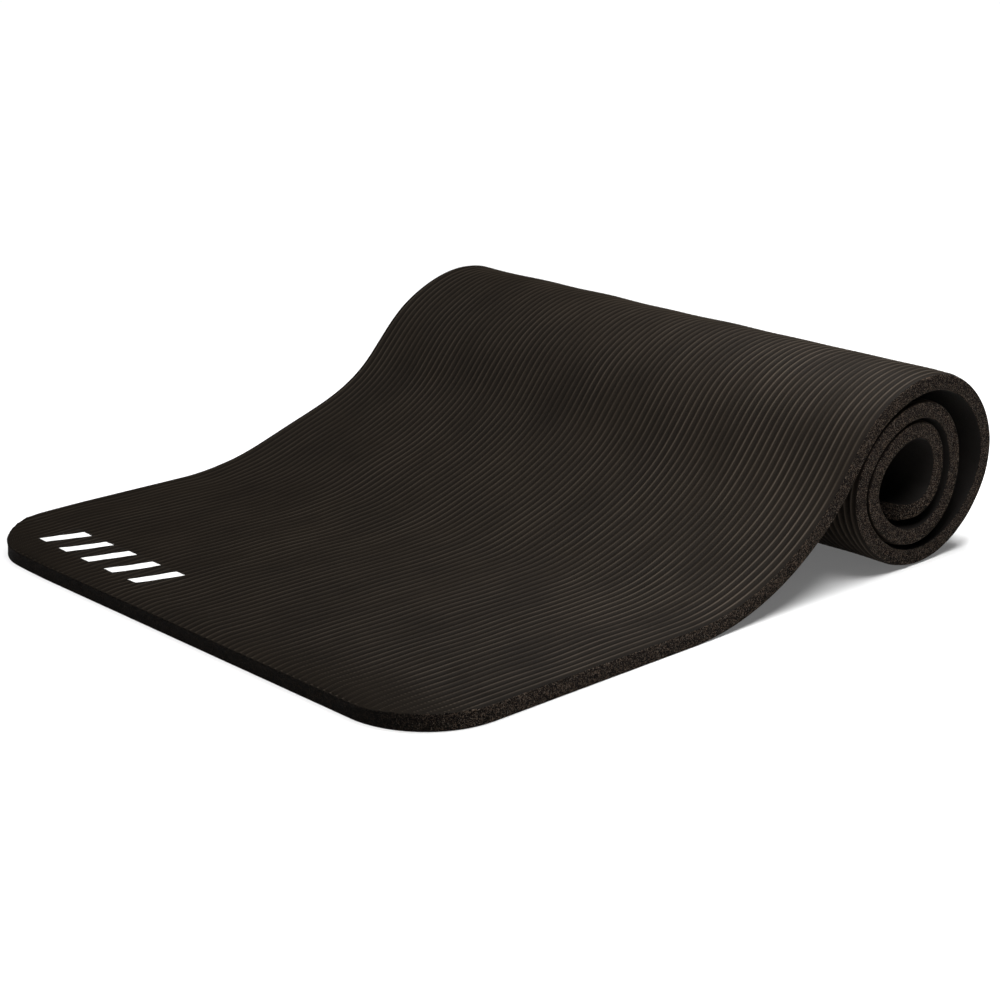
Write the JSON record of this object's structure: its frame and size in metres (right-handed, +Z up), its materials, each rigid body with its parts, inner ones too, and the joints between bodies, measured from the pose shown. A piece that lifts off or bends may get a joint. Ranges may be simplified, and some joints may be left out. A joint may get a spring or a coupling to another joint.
{
  "type": "exercise mat",
  "caption": "Thick foam exercise mat with a ribbed top and rounded corners, flat at the front and rolled up at the back; it unrolls flat.",
  "frame": {"origin": "on the floor under the middle of the mat's bounding box as it lies half rolled", "axes": "+X across the mat's width, +Y from the flat front edge towards the roll, +Z up"},
  "size_m": [0.6, 0.6884, 0.1714],
  "materials": {
    "foam": "matt closed-cell foam, ribbed on top, porous on its cut edges",
    "print": "matt white screen print"
  },
  "bodies": {
    "front_panel": {"front_panel": "foam", "print_bar_1": "print", "print_bar_2": "print", "print_bar_3": "print", "print_bar_4": "print", "print_bar_5": "print"},
    "rise_panel_1": {"rise_panel_1": "foam"},
    "rise_panel_2": {"rise_panel_2": "foam"},
    "rise_panel_3": {"rise_panel_3": "foam"},
    "rise_panel_4": {"rise_panel_4": "foam"},
    "rise_panel_5": {"rise_panel_5": "foam"},
    "rise_panel_6": {"rise_panel_6": "foam"},
    "crest_panel_1": {"crest_panel_1": "foam"},
    "crest_panel_2": {"crest_panel_2": "foam"},
    "crest_panel_3": {"crest_panel_3": "foam"},
    "crest_panel_4": {"crest_panel_4": "foam"},
    "roll_panel_01": {"roll_panel_01": "foam"},
    "roll_panel_02": {"roll_panel_02": "foam"},
    "roll_panel_03": {"roll_panel_03": "foam"},
    "roll_panel_04": {"roll_panel_04": "foam"},
    "roll_panel_05": {"roll_panel_05": "foam"},
    "roll_panel_06": {"roll_panel_06": "foam"},
    "roll_panel_07": {"roll_panel_07": "foam"},
    "roll_panel_08": {"roll_panel_08": "foam"},
    "roll_panel_09": {"roll_panel_09": "foam"},
    "roll_panel_10": {"roll_panel_10": "foam"},
    "roll_panel_11": {"roll_panel_11": "foam"},
    "roll_panel_12": {"roll_panel_12": "foam"},
    "roll_panel_13": {"roll_panel_13": "foam"},
    "roll_panel_14": {"roll_panel_14": "foam"},
    "roll_panel_15": {"roll_panel_15": "foam"},
    "roll_panel_16": {"roll_panel_16": "foam"},
    "roll_panel_17": {"roll_panel_17": "foam"},
    "roll_panel_18": {"roll_panel_18": "foam"},
    "roll_panel_19": {"roll_panel_19": "foam"},
    "roll_panel_20": {"roll_panel_20": "foam"},
    "roll_panel_21": {"roll_panel_21": "foam"},
    "roll_panel_22": {"roll_panel_22": "foam"},
    "roll_panel_23": {"roll_panel_23": "foam"},
    "roll_panel_24": {"roll_panel_24": "foam"},
    "roll_panel_25": {"roll_panel_25": "foam"},
    "roll_panel_26": {"roll_panel_26": "foam"},
    "roll_panel_27": {"roll_panel_27": "foam"},
    "roll_panel_28": {"roll_panel_28": "foam"},
    "roll_panel_29": {"roll_panel_29": "foam"},
    "roll_panel_30": {"roll_panel_30": "foam"},
    "roll_panel_31": {"roll_panel_31": "foam"},
    "roll_panel_32": {"roll_panel_32": "foam"},
    "roll_panel_33": {"roll_panel_33": "foam"},
    "roll_panel_34": {"roll_panel_34": "foam"},
    "roll_panel_35": {"roll_panel_35": "foam"},
    "roll_panel_36": {"roll_panel_36": "foam"},
    "roll_panel_37": {"roll_panel_37": "foam"},
    "roll_panel_38": {"roll_panel_38": "foam"},
    "roll_panel_39": {"roll_panel_39": "foam"},
    "roll_panel_40": {"roll_panel_40": "foam"},
    "roll_panel_41": {"roll_panel_41": "foam"},
    "roll_panel_42": {"roll_panel_42": "foam"},
    "roll_panel_43": {"roll_panel_43": "foam"}
  },
  "joints": [
    {"name": "unroll", "type": "hinge", "parent": "front_panel", "child": "rise_panel_1", "pos_m": [0, -0.05377, 0.0075], "axis": [-1, 0, 0], "range_deg": [0, 4.58]},
    {"name": "rise_2_bend", "type": "hinge", "parent": "rise_panel_1", "child": "rise_panel_2", "pos_m": [0, -0.01418, 0.01067], "axis": [-1, 0, 0], "range_deg": [0, 9.15]},
    {"name": "rise_3_bend", "type": "hinge", "parent": "rise_panel_2", "child": "rise_panel_3", "pos_m": [0, 0.02441, 0.02009], "axis": [-1, 0, 0], "range_deg": [0, 9.15]},
    {"name": "rise_4_bend", "type": "hinge", "parent": "rise_panel_3", "child": "rise_panel_4", "pos_m": [0, 0.06101, 0.03553], "axis": [-1, 0, 0], "range_deg": [0, 9.15]},
    {"name": "rise_5_bend", "type": "hinge", "parent": "rise_panel_4", "child": "rise_panel_5", "pos_m": [0, 0.09469, 0.0566], "axis": [-1, 0, 0], "range_deg": [0, 9.15]},
    {"name": "rise_6_bend", "type": "hinge", "parent": "rise_panel_5", "child": "rise_panel_6", "pos_m": [0, 0.12459, 0.08275], "axis": [-1, 0, 0], "range_deg": [0, 9.15]},
    {"name": "crest_1_bend", "type": "hinge", "parent": "rise_panel_6", "child": "crest_panel_1", "pos_m": [0, 0.14995, 0.11332], "axis": [1, 0, 0], "range_deg": [0, 2.29]},
    {"name": "crest_2_bend", "type": "hinge", "parent": "crest_panel_1", "child": "crest_panel_2", "pos_m": [0, 0.16896, 0.13447], "axis": [1, 0, 0], "range_deg": [0, 13.73]},
    {"name": "crest_3_bend", "type": "hinge", "parent": "crest_panel_2", "child": "crest_panel_3", "pos_m": [0, 0.19245, 0.1505], "axis": [1, 0, 0], "range_deg": [0, 13.73]},
    {"name": "crest_4_bend", "type": "hinge", "parent": "crest_panel_3", "child": "crest_panel_4", "pos_m": [0, 0.21907, 0.1605], "axis": [1, 0, 0], "range_deg": [0, 13.73]},
    {"name": "roll_01_bend", "type": "hinge", "parent": "crest_panel_4", "child": "roll_panel_01", "pos_m": [0, 0.24731, 0.1639], "axis": [1, 0, 0], "range_deg": [0, 16.86]},
    {"name": "roll_02_bend", "type": "hinge", "parent": "roll_panel_01", "child": "roll_panel_02", "pos_m": [0, 0.27946, 0.15823], "axis": [1, 0, 0], "range_deg": [0, 20]},
    {"name": "roll_03_bend", "type": "hinge", "parent": "roll_panel_02", "child": "roll_panel_03", "pos_m": [0, 0.30773, 0.14191], "axis": [1, 0, 0], "range_deg": [0, 20]},
    {"name": "roll_04_bend", "type": "hinge", "parent": "roll_panel_03", "child": "roll_panel_04", "pos_m": [0, 0.32871, 0.1169], "axis": [1, 0, 0], "range_deg": [0, 20]},
    {"name": "roll_05_bend", "type": "hinge", "parent": "roll_panel_04", "child": "roll_panel_05", "pos_m": [0, 0.33596, 0.09699], "axis": [1, 0, 0], "range_deg": [0, 20]},
    {"name": "roll_06_bend", "type": "hinge", "parent": "roll_panel_05", "child": "roll_panel_06", "pos_m": [0, 0.33596, 0.07581], "axis": [1, 0, 0], "range_deg": [0, 20]},
    {"name": "roll_07_bend", "type": "hinge", "parent": "roll_panel_06", "child": "roll_panel_07", "pos_m": [0, 0.32871, 0.0559], "axis": [1, 0, 0], "range_deg": [0, 20]},
    {"name": "roll_08_bend", "type": "hinge", "parent": "roll_panel_07", "child": "roll_panel_08", "pos_m": [0, 0.30717, 0.03022], "axis": [1, 0, 0], "range_deg": [0, 20]},
    {"name": "roll_09_bend", "type": "hinge", "parent": "roll_panel_08", "child": "roll_panel_09", "pos_m": [0, 0.27815, 0.01347], "axis": [1, 0, 0], "range_deg": [0, 20]},
    {"name": "roll_10_bend", "type": "hinge", "parent": "roll_panel_09", "child": "roll_panel_10", "pos_m": [0, 0.24514, 0.00765], "axis": [1, 0, 0], "range_deg": [0, 20]},
    {"name": "roll_11_bend", "type": "hinge", "parent": "roll_panel_10", "child": "roll_panel_11", "pos_m": [0, 0.21282, 0.01335], "axis": [1, 0, 0], "range_deg": [0, 20]},
    {"name": "roll_12_bend", "type": "hinge", "parent": "roll_panel_11", "child": "roll_panel_12", "pos_m": [0, 0.1844, 0.02976], "axis": [1, 0, 0], "range_deg": [0, 20]},
    {"name": "roll_13_bend", "type": "hinge", "parent": "roll_panel_12", "child": "roll_panel_13", "pos_m": [0, 0.1633, 0.0549], "axis": [1, 0, 0], "range_deg": [0, 20]},
    {"name": "roll_14_bend", "type": "hinge", "parent": "roll_panel_13", "child": "roll_panel_14", "pos_m": [0, 0.15778, 0.07007], "axis": [1, 0, 0], "range_deg": [0, 20]},
    {"name": "roll_15_bend", "type": "hinge", "parent": "roll_panel_14", "child": "roll_panel_15", "pos_m": [0, 0.15778, 0.08622], "axis": [1, 0, 0], "range_deg": [0, 20]},
    {"name": "roll_16_bend", "type": "hinge", "parent": "roll_panel_15", "child": "roll_panel_16", "pos_m": [0, 0.1633, 0.1014], "axis": [1, 0, 0], "range_deg": [0, 20]},
    {"name": "roll_17_bend", "type": "hinge", "parent": "roll_panel_16", "child": "roll_panel_17", "pos_m": [0, 0.1815, 0.12308], "axis": [1, 0, 0], "range_deg": [0, 20]},
    {"name": "roll_18_bend", "type": "hinge", "parent": "roll_panel_17", "child": "roll_panel_18", "pos_m": [0, 0.20601, 0.13723], "axis": [1, 0, 0], "range_deg": [0, 20]},
    {"name": "roll_19_bend", "type": "hinge", "parent": "roll_panel_18", "child": "roll_panel_19", "pos_m": [0, 0.23389, 0.14215], "axis": [1, 0, 0], "range_deg": [0, 20]},
    {"name": "roll_20_bend", "type": "hinge", "parent": "roll_panel_19", "child": "roll_panel_20", "pos_m": [0, 0.25287, 0.1388], "axis": [1, 0, 0], "range_deg": [0, 20]},
    {"name": "roll_21_bend", "type": "hinge", "parent": "roll_panel_20", "child": "roll_panel_21", "pos_m": [0, 0.26956, 0.12916], "axis": [1, 0, 0], "range_deg": [0, 20]},
    {"name": "roll_22_bend", "type": "hinge", "parent": "roll_panel_21", "child": "roll_panel_22", "pos_m": [0, 0.28195, 0.1144], "axis": [1, 0, 0], "range_deg": [0, 20]},
    {"name": "roll_23_bend", "type": "hinge", "parent": "roll_panel_22", "child": "roll_panel_23", "pos_m": [0, 0.28931, 0.09416], "axis": [1, 0, 0], "range_deg": [0, 20]},
    {"name": "roll_24_bend", "type": "hinge", "parent": "roll_panel_23", "child": "roll_panel_24", "pos_m": [0, 0.28931, 0.07263], "axis": [1, 0, 0], "range_deg": [0, 20]},
    {"name": "roll_25_bend", "type": "hinge", "parent": "roll_panel_24", "child": "roll_panel_25", "pos_m": [0, 0.28195, 0.0524], "axis": [1, 0, 0], "range_deg": [0, 20]},
    {"name": "roll_26_bend", "type": "hinge", "parent": "roll_panel_25", "child": "roll_panel_26", "pos_m": [0, 0.27079, 0.0391], "axis": [1, 0, 0], "range_deg": [0, 20]},
    {"name": "roll_27_bend", "type": "hinge", "parent": "roll_panel_26", "child": "roll_panel_27", "pos_m": [0, 0.25575, 0.03041], "axis": [1, 0, 0], "range_deg": [0, 20]},
    {"name": "roll_28_bend", "type": "hinge", "parent": "roll_panel_27", "child": "roll_panel_28", "pos_m": [0, 0.23865, 0.0274], "axis": [1, 0, 0], "range_deg": [0, 20]},
    {"name": "roll_29_bend", "type": "hinge", "parent": "roll_panel_28", "child": "roll_panel_29", "pos_m": [0, 0.21505, 0.03156], "axis": [1, 0, 0], "range_deg": [0, 20]},
    {"name": "roll_30_bend", "type": "hinge", "parent": "roll_panel_29", "child": "roll_panel_30", "pos_m": [0, 0.19429, 0.04354], "axis": [1, 0, 0], "range_deg": [0, 20]},
    {"name": "roll_31_bend", "type": "hinge", "parent": "roll_panel_30", "child": "roll_panel_31", "pos_m": [0, 0.17889, 0.0619], "axis": [1, 0, 0], "range_deg": [0, 25]},
    {"name": "roll_32_bend", "type": "hinge", "parent": "roll_panel_31", "child": "roll_panel_32", "pos_m": [0, 0.17454, 0.07815], "axis": [1, 0, 0], "range_deg": [0, 30]},
    {"name": "roll_33_bend", "type": "hinge", "parent": "roll_panel_32", "child": "roll_panel_33", "pos_m": [0, 0.17889, 0.0944], "axis": [1, 0, 0], "range_deg": [0, 25]},
    {"name": "roll_34_bend", "type": "hinge", "parent": "roll_panel_33", "child": "roll_panel_34", "pos_m": [0, 0.19251, 0.11063], "axis": [1, 0, 0], "range_deg": [0, 20]},
    {"name": "roll_35_bend", "type": "hinge", "parent": "roll_panel_34", "child": "roll_panel_35", "pos_m": [0, 0.21086, 0.12122], "axis": [1, 0, 0], "range_deg": [0, 20]},
    {"name": "roll_36_bend", "type": "hinge", "parent": "roll_panel_35", "child": "roll_panel_36", "pos_m": [0, 0.23172, 0.1249], "axis": [1, 0, 0], "range_deg": [0, 25]},
    {"name": "roll_37_bend", "type": "hinge", "parent": "roll_panel_36", "child": "roll_panel_37", "pos_m": [0, 0.24847, 0.12041], "axis": [1, 0, 0], "range_deg": [0, 30]},
    {"name": "roll_38_bend", "type": "hinge", "parent": "roll_panel_37", "child": "roll_panel_38", "pos_m": [0, 0.26073, 0.10815], "axis": [1, 0, 0], "range_deg": [0, 30]},
    {"name": "roll_39_bend", "type": "hinge", "parent": "roll_panel_38", "child": "roll_panel_39", "pos_m": [0, 0.26636, 0.08715], "axis": [1, 0, 0], "range_deg": [0, 30]},
    {"name": "roll_40_bend", "type": "hinge", "parent": "roll_panel_39", "child": "roll_panel_40", "pos_m": [0, 0.26073, 0.06615], "axis": [1, 0, 0], "range_deg": [0, 30]},
    {"name": "roll_41_bend", "type": "hinge", "parent": "roll_panel_40", "child": "roll_panel_41", "pos_m": [0, 0.24755, 0.05297], "axis": [1, 0, 0], "range_deg": [0, 30]},
    {"name": "roll_42_bend", "type": "hinge", "parent": "roll_panel_41", "child": "roll_panel_42", "pos_m": [0, 0.22956, 0.04815], "axis": [1, 0, 0], "range_deg": [0, 30]},
    {"name": "roll_43_bend", "type": "hinge", "parent": "roll_panel_42", "child": "roll_panel_43", "pos_m": [0, 0.21155, 0.05297], "axis": [1, 0, 0], "range_deg": [0, 30]}
  ],
  "couplings": [
    {"joint": "rise_2_bend", "follows": "unroll", "ratio": 2},
    {"joint": "rise_3_bend", "follows": "unroll", "ratio": 2},
    {"joint": "rise_4_bend", "follows": "unroll", "ratio": 2},
    {"joint": "rise_5_bend", "follows": "unroll", "ratio": 2},
    {"joint": "rise_6_bend", "follows": "unroll", "ratio": 2},
    {"joint": "crest_1_bend", "follows": "unroll", "ratio": 0.5},
    {"joint": "crest_2_bend", "follows": "unroll", "ratio": 3},
    {"joint": "crest_3_bend", "follows": "unroll", "ratio": 3},
    {"joint": "crest_4_bend", "follows": "unroll", "ratio": 3},
    {"joint": "roll_01_bend", "follows": "unroll", "ratio": 3.6858},
    {"joint": "roll_02_bend", "follows": "unroll", "ratio": 4.3716},
    {"joint": "roll_03_bend", "follows": "unroll", "ratio": 4.3716},
    {"joint": "roll_04_bend", "follows": "unroll", "ratio": 4.3716},
    {"joint": "roll_05_bend", "follows": "unroll", "ratio": 4.3716},
    {"joint": "roll_06_bend", "follows": "unroll", "ratio": 4.3716},
    {"joint": "roll_07_bend", "follows": "unroll", "ratio": 4.3716},
    {"joint": "roll_08_bend", "follows": "unroll", "ratio": 4.3716},
    {"joint": "roll_09_bend", "follows": "unroll", "ratio": 4.3716},
    {"joint": "roll_10_bend", "follows": "unroll", "ratio": 4.3716},
    {"joint": "roll_11_bend", "follows": "unroll", "ratio": 4.3716},
    {"joint": "roll_12_bend", "follows": "unroll", "ratio": 4.3716},
    {"joint": "roll_13_bend", "follows": "unroll", "ratio": 4.3716},
    {"joint": "roll_14_bend", "follows": "unroll", "ratio": 4.3716},
    {"joint": "roll_15_bend", "follows": "unroll", "ratio": 4.3716},
    {"joint": "roll_16_bend", "follows": "unroll", "ratio": 4.3716},
    {"joint": "roll_17_bend", "follows": "unroll", "ratio": 4.3716},
    {"joint": "roll_18_bend", "follows": "unroll", "ratio": 4.3716},
    {"joint": "roll_19_bend", "follows": "unroll", "ratio": 4.3716},
    {"joint": "roll_20_bend", "follows": "unroll", "ratio": 4.3716},
    {"joint": "roll_21_bend", "follows": "unroll", "ratio": 4.3716},
    {"joint": "roll_22_bend", "follows": "unroll", "ratio": 4.3716},
    {"joint": "roll_23_bend", "follows": "unroll", "ratio": 4.3716},
    {"joint": "roll_24_bend", "follows": "unroll", "ratio": 4.3716},
    {"joint": "roll_25_bend", "follows": "unroll", "ratio": 4.3716},
    {"joint": "roll_26_bend", "follows": "unroll", "ratio": 4.3716},
    {"joint": "roll_27_bend", "follows": "unroll", "ratio": 4.3716},
    {"joint": "roll_28_bend", "follows": "unroll", "ratio": 4.3716},
    {"joint": "roll_29_bend", "follows": "unroll", "ratio": 4.3716},
    {"joint": "roll_30_bend", "follows": "unroll", "ratio": 4.3716},
    {"joint": "roll_31_bend", "follows": "unroll", "ratio": 5.4645},
    {"joint": "roll_32_bend", "follows": "unroll", "ratio": 6.5574},
    {"joint": "roll_33_bend", "follows": "unroll", "ratio": 5.4645},
    {"joint": "roll_34_bend", "follows": "unroll", "ratio": 4.3716},
    {"joint": "roll_35_bend", "follows": "unroll", "ratio": 4.3716},
    {"joint": "roll_36_bend", "follows": "unroll", "ratio": 5.4645},
    {"joint": "roll_37_bend", "follows": "unroll", "ratio": 6.5574},
    {"joint": "roll_38_bend", "follows": "unroll", "ratio": 6.5574},
    {"joint": "roll_39_bend", "follows": "unroll", "ratio": 6.5574},
    {"joint": "roll_40_bend", "follows": "unroll", "ratio": 6.5574},
    {"joint": "roll_41_bend", "follows": "unroll", "ratio": 6.5574},
    {"joint": "roll_42_bend", "follows": "unroll", "ratio": 6.5574},
    {"joint": "roll_43_bend", "follows": "unroll", "ratio": 6.5574}
  ]
}
